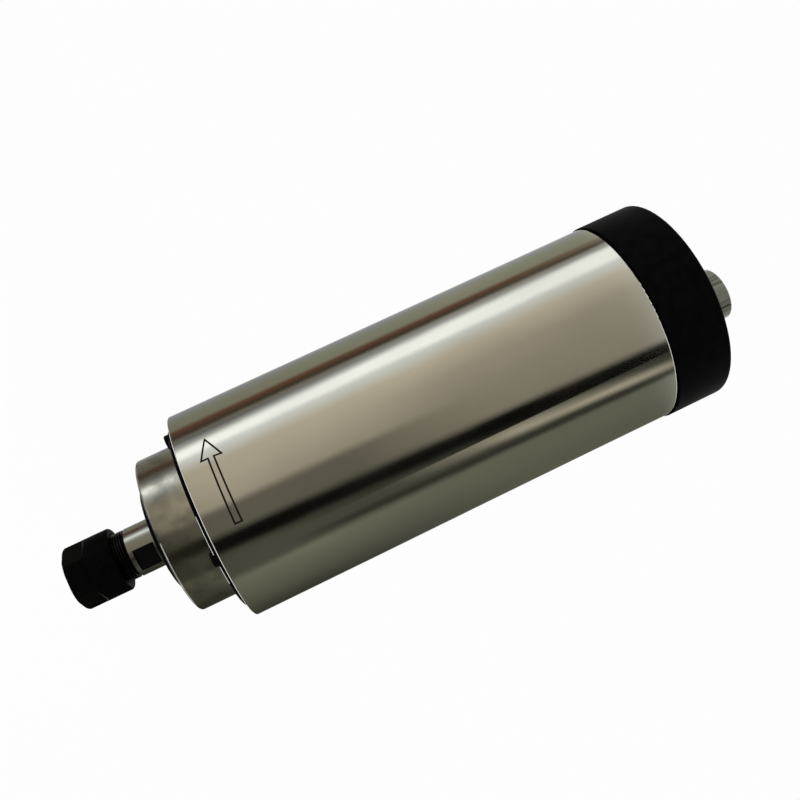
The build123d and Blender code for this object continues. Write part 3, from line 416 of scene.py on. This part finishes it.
def threaded_shaft():
    """The shaft's own shape with the thread's groove cut into it.

    The stored normals of the uncut shaft don't fit the cut one, so they go and edges are found anew.
    """
    mesh = nodes["rotor_shaft"].data.copy()
    if "custom_normal" in mesh.attributes:
        mesh.attributes.remove(mesh.attributes["custom_normal"])
    shape = bmesh.new()
    shape.from_mesh(mesh)
    bmesh.ops.remove_doubles(shape, verts=shape.verts, dist=weld_distance)
    shape.to_mesh(mesh)
    shape.free()
    blank = bpy.data.objects.new("shaft_blank", mesh)
    bpy.context.scene.collection.objects.link(blank)
    cutter = groove_cutter()
    cut = blank.modifiers.new("groove", "BOOLEAN")
    cut.operation = "DIFFERENCE"
    cut.solver = "EXACT"
    cut.object = cutter
    ready = blank.evaluated_get(bpy.context.evaluated_depsgraph_get())
    result = bpy.data.meshes.new_from_object(ready)
    bpy.data.objects.remove(blank)
    bpy.data.objects.remove(cutter)
    result.name = "threaded_shaft"
    result.materials.clear()
    result.shade_smooth()
    result.set_sharp_from_angle(angle=math.radians(sharp_edge_angle))
    return result


ground_steel = finish("ground_steel", metal=1.0)
shaft_z = place_part(ground_steel, "Z")
shaft_side = combine(ground_steel, "ABSOLUTE", place_part(ground_steel, "X"))
# Painted reflection: the wrench flats are coloured near black, as if mirroring dark surroundings; the thread
# is near black too.
on_flats = combine(ground_steel, "MULTIPLY",
                   combine(ground_steel, "COMPARE", shaft_z, flat_middle, flat_half_length),
                   combine(ground_steel, "COMPARE", shaft_side, flat_half_width, flat_dark_depth))
on_thread = combine(ground_steel, "LESS_THAN", shaft_z, thread_dark_back)
dark_thread_and_flats = combine(ground_steel, "MAXIMUM", on_thread, on_flats)
ground = combine(ground_steel, "SUBTRACT", 1.0, dark_thread_and_flats)
tint(ground_steel, ground, dark=shaft_dark, light=shaft_bright)
vary(ground_steel, "Roughness", ground, low=0.36, high=0.2)
relief(ground_steel, grain(ground_steel, size=0.0006), depth=0.0000008)
shaft = add_piece("threaded_shaft", threaded_shaft(), ground_steel, "rotor")
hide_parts("rotor_shaft")


# The collet is spring steel, ground all over, with slits sawn from both ends.
# It is pressed into the shaft's cone by the nut and stays bright.
collet_steel = finish("collet_steel", metal=1.0)
tint(collet_steel, rings(collet_steel, size=0.0004, times=40), dark=(0.46, 0.45, 0.43),
     light=(0.58, 0.57, 0.55))
vary(collet_steel, "Roughness", grain(collet_steel, size=0.001), low=0.2, high=0.3)
relief(collet_steel, rings(collet_steel, size=0.0003, times=60), depth=0.000002)
dress(collet_steel, "collet")


# The collet nut is turned from steel and blackened, with six flats milled at its front for a wrench.
# The turning rings still show faintly under the black.
black_nut = finish("black_nut", specular=0.012)
tint(black_nut, grain(black_nut, size=0.0008), dark=grey(0.001), light=(0.0025, 0.0025, 0.0023))
vary(black_nut, "Roughness", grain(black_nut, size=0.0025), low=0.30, high=0.44)
relief(black_nut, rings(black_nut, size=0.0003, times=60), depth=0.000003)
dress(black_nut, "collet_nut")


# The rear cap is moulded in black glass-filled plastic with a fine matt skin.
# Four long screws go through its posts and the bearing housing into the motor's jacket.
black_moulding = finish("black_moulding", roughness=0.45, specular=0.012)
tint(black_moulding, grain(black_moulding, size=0.004), dark=grey(0.001), light=grey(0.0022))
relief(black_moulding, grain(black_moulding, size=0.0004), depth=0.00001)
dress(black_moulding, "rear_cap")


# The power socket is a nickel-plated brass shell, satin finished, with a nut inside the cap.
# Round brass pins stand in a black insert, and a rubber ring seals it to the cap.
socket_metal = finish("socket_metal", metal=1.0)
tint(socket_metal, streaks(socket_metal, size=0.0012, times=30), dark=(0.09, 0.09, 0.075),
     light=(0.25, 0.25, 0.215))
vary(socket_metal, "Roughness", grain(socket_metal, size=0.002), low=0.28, high=0.40)
dress(socket_metal, "connector_shell", "connector_nut")

socket_rubber = finish("socket_rubber", roughness=0.7, specular=0.2)
tint(socket_rubber, grain(socket_rubber, size=0.0012), dark=grey(0.008), light=grey(0.016))
relief(socket_rubber, grain(socket_rubber, size=0.0003), depth=0.00002)
dress(socket_rubber, "connector_gasket")

insert_plastic = finish("insert_plastic", roughness=0.5, specular=0.3)
tint(insert_plastic, grain(insert_plastic, size=0.0008), dark=(0.014, 0.014, 0.015),
     light=(0.024, 0.024, 0.025))
relief(insert_plastic, grain(insert_plastic, size=0.0002), depth=0.000005)
dress(insert_plastic, "connector_insert")

pin_brass = finish("pin_brass", metal=1.0)
tint(pin_brass, streaks(pin_brass, size=0.0003, times=20), dark=(0.70, 0.52, 0.23),
     light=(0.84, 0.66, 0.34))
vary(pin_brass, "Roughness", grain(pin_brass, size=0.0008), low=0.18, high=0.32)
dress(pin_brass, "connector_pins", "earth_terminal")


# Three red leads run from the socket to the winding and a green one to the earth screw.
# Each is a stranded wire in a soft sleeve of smooth plastic. The screw and the fan's washer are plated.
lead_red = finish("lead_red")
tint(lead_red, grain(lead_red, size=0.003), dark=(0.38, 0.015, 0.014), light=(0.50, 0.026, 0.022))
vary(lead_red, "Roughness", grain(lead_red, size=0.001), low=0.36, high=0.50)
dress(lead_red, "phase_lead_1", "phase_lead_2", "phase_lead_3")

lead_green = finish("lead_green")
tint(lead_green, grain(lead_green, size=0.003), dark=(0.022, 0.20, 0.04), light=(0.04, 0.30, 0.06))
vary(lead_green, "Roughness", grain(lead_green, size=0.001), low=0.36, high=0.50)
dress(lead_green, "earth_lead")

plated_steel = finish("plated_steel", metal=1.0)
tint(plated_steel, grain(plated_steel, size=0.0008), dark=(0.52, 0.53, 0.52), light=(0.68, 0.69, 0.68))
vary(plated_steel, "Roughness", grain(plated_steel, size=0.0015), low=0.22, high=0.36)
dress(plated_steel, "earth_screw", "fan_washer")


# The fan behind the rear bearings is moulded in dark plastic and held on the shaft's end by a screw
# and a washer. It draws air in through the cap and drives it along the motor's jacket.
fan_plastic = finish("fan_plastic", roughness=0.4, specular=0.3)
tint(fan_plastic, grain(fan_plastic, size=0.003), dark=(0.009, 0.009, 0.010), light=(0.017, 0.017, 0.018))
relief(fan_plastic, grain(fan_plastic, size=0.0005), depth=0.00001)
dress(fan_plastic, "cooling_fan")


# The bearing retainer and the rear bearing housing are turned from aluminium bar and left bare.
# The tool leaves fine rings round them.
turned_aluminium = finish("turned_aluminium", metal=1.0)
tool_rings = rings(turned_aluminium, size=0.0002, times=80)
tint(turned_aluminium, tool_rings, dark=(0.64, 0.65, 0.65), light=(0.78, 0.79, 0.79))
vary(turned_aluminium, "Roughness", grain(turned_aluminium, size=0.004), low=0.22, high=0.34)
relief(turned_aluminium, tool_rings, depth=0.000004)
dress(turned_aluminium, "bearing_retainer", "rear_bearing_housing")


# The motor's jacket and the rotor's end rings are aluminium castings.
# Their skin is pale, dull and faintly pitted.
cast_aluminium = finish("cast_aluminium", metal=1.0)
tint(cast_aluminium, grain(cast_aluminium, size=0.003, detail=6.0), dark=(0.48, 0.48, 0.47),
     light=(0.64, 0.64, 0.63))
vary(cast_aluminium, "Roughness", grain(cast_aluminium, size=0.002), low=0.40, high=0.58)
relief(cast_aluminium, grain(cast_aluminium, size=0.0007), depth=0.00004)
dress(cast_aluminium, "stator_housing", "rotor_end_ring_front", "rotor_end_ring_rear")


# The stacks of the stator and the rotor are thin sheets of silicon steel, blued at their edges.
# The sheets lie square to the axis, half a millimetre each.
sheet_thickness = 0.0005

sheet_steel = finish("sheet_steel", metal=1.0)
sheet_edges = rings(sheet_steel, sheet_thickness, times=80, detail=1.0)
tint(sheet_steel, sheet_edges, dark=(0.13, 0.14, 0.17), light=(0.30, 0.31, 0.33))
relief(sheet_steel, sheet_edges, depth=0.00003)
vary(sheet_steel, "Roughness", grain(sheet_steel, size=0.005), low=0.32, high=0.48)
dress(sheet_steel, "stator_core", "rotor_core")


# The winding is enamelled copper wire, laid in the slots and varnished in one block.
# Its end turns are laced into a rounded ring at each end of the core.
wire_thickness = 0.0006

copper_winding = finish("copper_winding", metal=1.0)
wires = rings(copper_winding, wire_thickness, times=6)
tint(copper_winding, wires, dark=(0.34, 0.12, 0.045), light=(0.60, 0.26, 0.12))
relief(copper_winding, wires, depth=0.00012)
vary(copper_winding, "Roughness", grain(copper_winding, size=0.003), low=0.24, high=0.44)
dress(copper_winding, "stator_winding")


# The disc spring that presses on the rear bearings' outer rings is blued spring steel.
# Heat has left it a little uneven in colour.
blued_spring = finish("blued_spring", metal=1.0)
tint(blued_spring, grain(blued_spring, size=0.004), dark=(0.14, 0.15, 0.20), light=(0.27, 0.27, 0.29))
vary(blued_spring, "Roughness", grain(blued_spring, size=0.001), low=0.24, high=0.38)
dress(blued_spring, "preload_disc_spring")


# Two pairs of ball bearings carry the shaft. Rings and balls are ground and polished bearing steel,
# and brown resin cages keep the balls apart.
bearing_steel = finish("bearing_steel", metal=1.0)
tint(bearing_steel, rings(bearing_steel, size=0.0003, times=40), dark=(0.64, 0.64, 0.63),
     light=(0.74, 0.74, 0.73))
vary(bearing_steel, "Roughness", grain(bearing_steel, size=0.002), low=0.08, high=0.14)

cage_resin = finish("cage_resin", roughness=0.5)
tint(cage_resin, streaks(cage_resin, size=0.0006, times=3), dark=(0.15, 0.07, 0.028),
     light=(0.26, 0.135, 0.06))
relief(cage_resin, grain(cage_resin, size=0.0002), depth=0.000008)

for bearing in ("front_bearing_1", "front_bearing_2", "rear_bearing_1", "rear_bearing_2"):
    dress(bearing_steel, f"{bearing}_outer_ring", f"{bearing}_inner_ring", f"{bearing}_balls")
    dress(cage_resin, f"{bearing}_cage")


# The photo stand is a wide white floor well below the nose, under even white light from all round.
# The floor and what lies beyond it show as white, and the floor keeps a little of the shadow.
floor_z = -0.24
floor_radius = 4.0
floor_corner_angle = 5
floor_paint = 0.9
floor_white_share = 0.95
light_level = 0.7
background_level = 0.985


def seen_directly(owner, share):
    """That share for rays from the camera, off polished surfaces or through clear ones, else nothing."""
    path = owner.node_tree.nodes.new("ShaderNodeLightPath")
    seen = combine(owner, "MAXIMUM", path.outputs["Is Camera Ray"], path.outputs["Is Glossy Ray"])
    seen = combine(owner, "MAXIMUM", seen, path.outputs["Is Transmission Ray"])
    return combine(owner, "MULTIPLY", seen, share)


def show_blend(owner, out_kind, share, one, other):
    """Ends the owner's nodes in a blend: the one shader where the share is 0, the other where it is 1."""
    tree = owner.node_tree
    blend = tree.nodes.new("ShaderNodeMixShader")
    out = tree.nodes.new(out_kind)
    tree.links.new(share, blend.inputs["Fac"])
    tree.links.new(one.outputs[0], blend.inputs[1])
    tree.links.new(other.outputs[0], blend.inputs[2])
    tree.links.new(blend.outputs[0], out.inputs["Surface"])


def floor_finish(name):
    """White card that shows as white and still takes the spindle's shadow."""
    material = bpy.data.materials.new(name)
    material.use_nodes = True
    tree = material.node_tree
    tree.nodes.clear()
    lit = tree.nodes.new("ShaderNodeBsdfDiffuse")
    lit.inputs["Color"].default_value = (*grey(floor_paint), 1)
    glow = tree.nodes.new("ShaderNodeEmission")
    glow.inputs["Color"].default_value = (1, 1, 1, 1)
    show_blend(material, "ShaderNodeOutputMaterial", seen_directly(material, floor_white_share), lit, glow)
    return material


def white_light(owner, level):
    """White of that level from all round."""
    light = owner.node_tree.nodes.new("ShaderNodeBackground")
    light.inputs["Color"].default_value = (1, 1, 1, 1)
    light.inputs["Strength"].default_value = level
    return light


floor_mesh = bpy.data.meshes.new("floor")
floor_turns = [math.radians(angle) for angle in range(0, 360, floor_corner_angle)]
rim = [(floor_radius * math.cos(turn), floor_radius * math.sin(turn), floor_z) for turn in floor_turns]
floor_mesh.from_pydata(rim, [], [tuple(range(len(rim)))])
floor = bpy.data.objects.new("floor", floor_mesh)
bpy.context.scene.collection.objects.link(floor)
floor.data.materials.append(floor_finish("white_floor"))

world = bpy.data.worlds.new("studio")
bpy.context.scene.world = world
world.use_nodes = True
world.node_tree.nodes.clear()
show_blend(world, "ShaderNodeOutputWorld", seen_directly(world, 1.0), white_light(world, light_level),
           white_light(world, background_level))


# The walls and cards of the studio stand round the spindle at arm's length, and only shiny surfaces
# see them. They glow with a painted tone and fade out at their soft sides. Angles are in degrees
# round the axis from +X, and a card may lean and change its tone between its foot and its head.
wall_radius = 0.52
card_radius = 0.45
card_step = 0.005
card_foot = -0.235
card_head = 0.42
card_corner_angle = 4
card_spans = 4


def card_finish(name):
    """Card that glows with the tone painted on it and is clear where its cover fades out."""
    material = bpy.data.materials.new(name)
    material.use_nodes = True
    material.cycles.emission_sampling = "NONE"
    tree = material.node_tree
    tree.nodes.clear()
    tone = tree.nodes.new("ShaderNodeAttribute")
    tone.attribute_name = "tone"
    cover = tree.nodes.new("ShaderNodeAttribute")
    cover.attribute_name = "cover"
    glow = tree.nodes.new("ShaderNodeEmission")
    tree.links.new(tone.outputs["Color"], glow.inputs["Color"])
    clear = tree.nodes.new("ShaderNodeBsdfTransparent")
    show_blend(material, "ShaderNodeOutputMaterial", cover.outputs["Fac"], clear, glow)
    return material


card_paint = card_finish("card_paint")


def between(one, other, share):
    return tuple(a + (b - a) * share for a, b in zip(one, other))


def curved_card(name, columns, radius, levels):
    """A curved card that only shiny surfaces see.

    A column is (angle at the foot, angle at the head, tone at the foot, tone at the head, cover).
    A level is (height, how far the tone has changed there, cover).
    """
    close_columns = []
    for one, other in zip(columns, columns[1:]):
        steps = max(1, math.ceil((other[0] - one[0]) / card_corner_angle))
        for step in range(steps):
            share = step / steps
            angles = between(one[:2], other[:2], share)
            tones = [between(one[k], other[k], share) for k in (2, 3)]
            close_columns.append((*angles, *tones, one[4] + (other[4] - one[4]) * share))
    close_columns.append(columns[-1])
    foot, head = levels[0][0], levels[-1][0]
    rows = []
    paint = []
    for angle_foot, angle_head, tone_foot, tone_head, cover in close_columns:
        row = []
        for z, change, level_cover in levels:
            angle = math.radians(angle_foot + (angle_head - angle_foot) * (z - foot) / (head - foot))
            row.append((radius * math.cos(angle), radius * math.sin(angle), z))
            paint.append((between(tone_foot, tone_head, change), cover * level_cover))
        rows.append(row)
    mesh = strip_mesh(name, rows, closed=False)
    mesh.attributes.new("tone", "FLOAT_COLOR", "POINT")
    mesh.attributes.new("cover", "FLOAT", "POINT")
    for point, (tone, cover) in enumerate(paint):
        mesh.attributes["tone"].data[point].color = (*tone, 1)
        mesh.attributes["cover"].data[point].value = cover
    card = bpy.data.objects.new(name, mesh)
    bpy.context.scene.collection.objects.link(card)
    card.data.materials.append(card_paint)
    card.visible_camera = False
    card.visible_diffuse = False
    card.visible_shadow = False


def flag(layer, name, foot, head, tone, fade, start=card_foot, end=card_head,
         soft_foot=0.0, soft_head=0.0, head_tone=None, full_cover=1.0):
    """A card between two angles at its foot and two at its head. Later layers stand nearer.

    Its sides fade out over the angle fade, and its ends over the lengths soft_foot and soft_head.
    """
    half = fade / 2
    last_tone = head_tone or tone
    edges = ((-half, 0, 0.0), (half, 0, full_cover), (-half, 1, full_cover), (half, 1, 0.0))
    columns = [(foot[side] + shift, head[side] + shift, tone, last_tone, cover)
               for shift, side, cover in edges]
    heights = [start]
    if soft_foot:
        heights.append(start + soft_foot)
    first = heights[-1]
    heights += [first + (end - soft_head - first) * k / card_spans for k in range(1, card_spans)]
    if soft_head:
        heights.append(end - soft_head)
    heights.append(end)
    levels = []
    for z in heights:
        faded = (soft_foot and z == start) or (soft_head and z == end)
        levels.append((z, (z - start) / (end - start), 0.0 if faded else 1.0))
    curved_card(name, columns, card_radius - layer * card_step, levels)


def white(level):
    return (0.96 * level, level, 0.99 * level)


def warm(level):
    return (1.08 * level, level, 0.79 * level)


def olive(level):
    return (0.98 * level, level, 0.76 * level)


# The room's walls are grey and brown on the left, warm on the right of the strip light and olive
# beyond it. Each angle has the wall's tone at its foot and at its head.
wall_tones = (
    (-180, white(0.34), white(0.40)), (-168, white(0.28), white(0.33)),
    (-150, olive(0.25), olive(0.31)), (-118, warm(0.22), warm(0.24)),
    (-112, white(0.14), white(0.42)), (-105, white(0.50), white(0.95)),
    (-86, white(0.86), white(0.80)), (-72, warm(0.55), warm(0.56)),
    (-50, warm(0.49), warm(0.36)), (-28, warm(0.40), warm(0.31)),
    (10, warm(0.24), warm(0.26)), (44, olive(0.21), olive(0.16)),
    (50, olive(0.21), olive(0.165)), (64, olive(0.175), olive(0.165)),
    (84, olive(0.125), olive(0.15)), (104, olive(0.075), olive(0.135)),
    (126, olive(0.045), olive(0.12)), (131, olive(0.05), olive(0.12)),
    (150, white(0.10), white(0.50)), (165, white(0.45), white(0.64)),
    (174, white(0.488), white(0.60)), (180, white(0.34), white(0.40)),
)
wall_levels = (
    (card_foot, 0, 1), (0.0, 0, 1), (0.06, 0.2, 1), (0.12, 0.5, 1), (0.18, 0.8, 1),
    (0.24, 1, 1), (0.36, 1, 1), (card_head, 1, 0),
)
curved_card("room_wall", [(angle, angle, low, high, 1.0) for angle, low, high in wall_tones],
            wall_radius, wall_levels)

# The strip light and the cards round it, from the wall inwards.
flag(0, "strip_light", foot=(-97.5, -89.5), head=(-110, -89.5), tone=white(1.5), fade=6,
     head_tone=white(1.17))
flag(1, "brown_card", foot=(-134, -122), head=(-130, -122), tone=(0.13, 0.063, 0.034), fade=6,
     soft_head=0.16)
flag(2, "brown_shade", foot=(-127, -116), head=(-122, -119), tone=(0.085, 0.064, 0.046), fade=5,
     soft_head=0.06, head_tone=(0.015, 0.011, 0.008))
flag(3, "low_shade", foot=(-31, 6), head=(-24, 6), tone=warm(0.14), fade=7, end=0.18, soft_head=0.11)
flag(4, "dim_flag", foot=(-5, 42), head=(20, 51), tone=olive(0.115), fade=7, soft_head=0.06,
     head_tone=olive(0.055))
flag(5, "black_flag", foot=(-11, 7.5), head=(16.5, 32), tone=warm(0.004), fade=7, soft_head=0.08)
flag(6, "edge_shade", foot=(33.5, 40), head=(48, 55), tone=olive(0.033), fade=5, start=0.0, end=0.40,
     soft_foot=0.06, soft_head=0.1)
flag(7, "thin_light", foot=(22, 29.5), head=(41, 49), tone=warm(0.44), fade=6, start=0.08,
     soft_foot=0.12, soft_head=0.12)
flag(8, "lower_light", foot=(137, 156), head=(137, 156), tone=white(1.5), fade=6, start=0.06, end=0.34,
     soft_foot=0.08, soft_head=0.08)
flag(9, "nose_shade", foot=(-84, 124), head=(-84, 124), tone=(0.03, 0.026, 0.014), fade=10, end=-0.048,
     soft_head=0.022, full_cover=0.52)


# The camera stands to one side of the spindle, nearer to its front, and is rolled so that the
# spindle lies across the picture with its nose at the lower left. The focus and the centre of the
# picture are in pixels.
camera_place = (0.321196, -0.145479, 0.041029)
camera_forward = (-0.93429, 0.34005, 0.10708)
camera_up = (-0.26812, -0.86817, 0.41760)
camera_near = 0.01
film_width = 36.0
picture_focus = 923.8
picture_width = 800
picture_centre = (375.2, 360.6)

camera_data = bpy.data.cameras.new("camera")
camera_data.sensor_width = film_width
camera_data.lens = picture_focus / picture_width * film_width
camera_data.shift_x = (picture_width / 2 - picture_centre[0]) / picture_width
camera_data.shift_y = (picture_centre[1] - picture_width / 2) / picture_width
camera_data.clip_start = camera_near
camera = bpy.data.objects.new("camera", camera_data)
bpy.context.scene.collection.objects.link(camera)
ahead = Vector(camera_forward).normalized()
up = Vector(camera_up)
up = (up - ahead * up.dot(ahead)).normalized()
right = ahead.cross(up)
camera.matrix_world = Matrix((
    (right.x, up.x, -ahead.x, camera_place[0]),
    (right.y, up.y, -ahead.y, camera_place[1]),
    (right.z, up.z, -ahead.z, camera_place[2]),
    (0, 0, 0, 1),
))
bpy.context.scene.camera = camera
bpy.context.scene.view_settings.view_transform = "Standard"


# One large square lamp beside the camera lights the matt surfaces from above.
# It isn't mirrored in the steel, because the cards make its reflections.
lamp_place = (0.5, -0.7, 0.8)
lamp_aim = (0, 0, 0.08)
lamp_size = 0.6
lamp_power = 6.0

lamp_data = bpy.data.lights.new("key_lamp", "AREA")
lamp_data.shape = "SQUARE"
lamp_data.size = lamp_size
lamp_data.energy = lamp_power
lamp = bpy.data.objects.new("key_lamp", lamp_data)
bpy.context.scene.collection.objects.link(lamp)
lamp.location = lamp_place
lamp.rotation_euler = (Vector(lamp_aim) - Vector(lamp_place)).to_track_quat("-Z", "Y").to_euler()
lamp.visible_glossy = False
